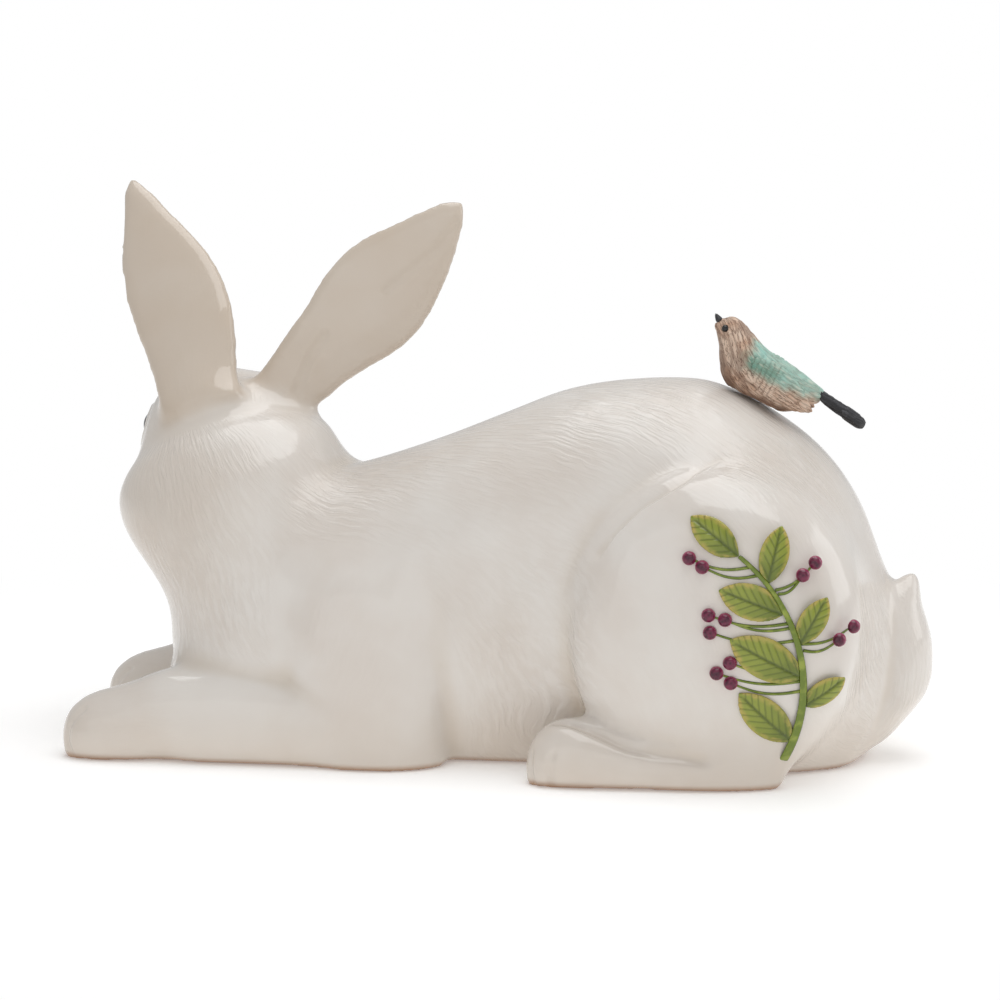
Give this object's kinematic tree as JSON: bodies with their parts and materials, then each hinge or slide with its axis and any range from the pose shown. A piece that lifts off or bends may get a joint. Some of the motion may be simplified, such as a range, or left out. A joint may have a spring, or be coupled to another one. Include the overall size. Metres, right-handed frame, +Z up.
{
  "type": "ceramic rabbit figurine",
  "caption": "Glazed ceramic rabbit lying down with its head turned back, a small painted bird on its rump and a raised leaf and berry sprig on its haunch.",
  "frame": {"origin": "on the table, in the middle of the flat base under the rabbit", "axes": "the rabbit faces -X, its left side is -Y, +Z is up"},
  "size_m": [0.3255, 0.1552, 0.2105],
  "materials": {
    "cream_glaze": "glossy clear glaze over cream earthenware with fine incised fur strokes",
    "eye_glaze": "glossy dark glaze",
    "leaf_green": "hand-painted green under glossy glaze",
    "berry_red": "hand-painted plum red under glossy glaze",
    "bird_brown": "matt cold-painted brown with dark lines in the plumage",
    "bird_turquoise": "matt cold-painted turquoise over brown",
    "bird_black": "satin near-black paint",
    "peg_steel": "plain wire pin, hidden"
  },
  "bodies": {
    "root": {"body_casting": "cream_glaze", "head_casting": "cream_glaze", "left_ear": "cream_glaze", "right_ear": "cream_glaze", "left_foreleg": "cream_glaze", "right_foreleg": "cream_glaze", "left_hind_foot": "cream_glaze", "right_hind_foot": "cream_glaze", "tail": "cream_glaze", "left_eye": "eye_glaze", "right_eye": "eye_glaze", "sprig_stem": "leaf_green", "sprig_leaf_1": "leaf_green", "sprig_leaf_2": "leaf_green", "sprig_leaf_3": "leaf_green", "sprig_leaf_4": "leaf_green", "sprig_leaf_5": "leaf_green", "sprig_leaf_6": "leaf_green", "sprig_leaf_7": "leaf_green", "sprig_berries": "berry_red", "bird_body": "bird_brown", "bird_left_wing": "bird_turquoise", "bird_right_wing": "bird_turquoise", "bird_tail": "bird_black", "bird_beak": "bird_black", "bird_left_eye": "bird_black", "bird_right_eye": "bird_black", "bird_peg": "peg_steel"}
  },
  "joints": []
}
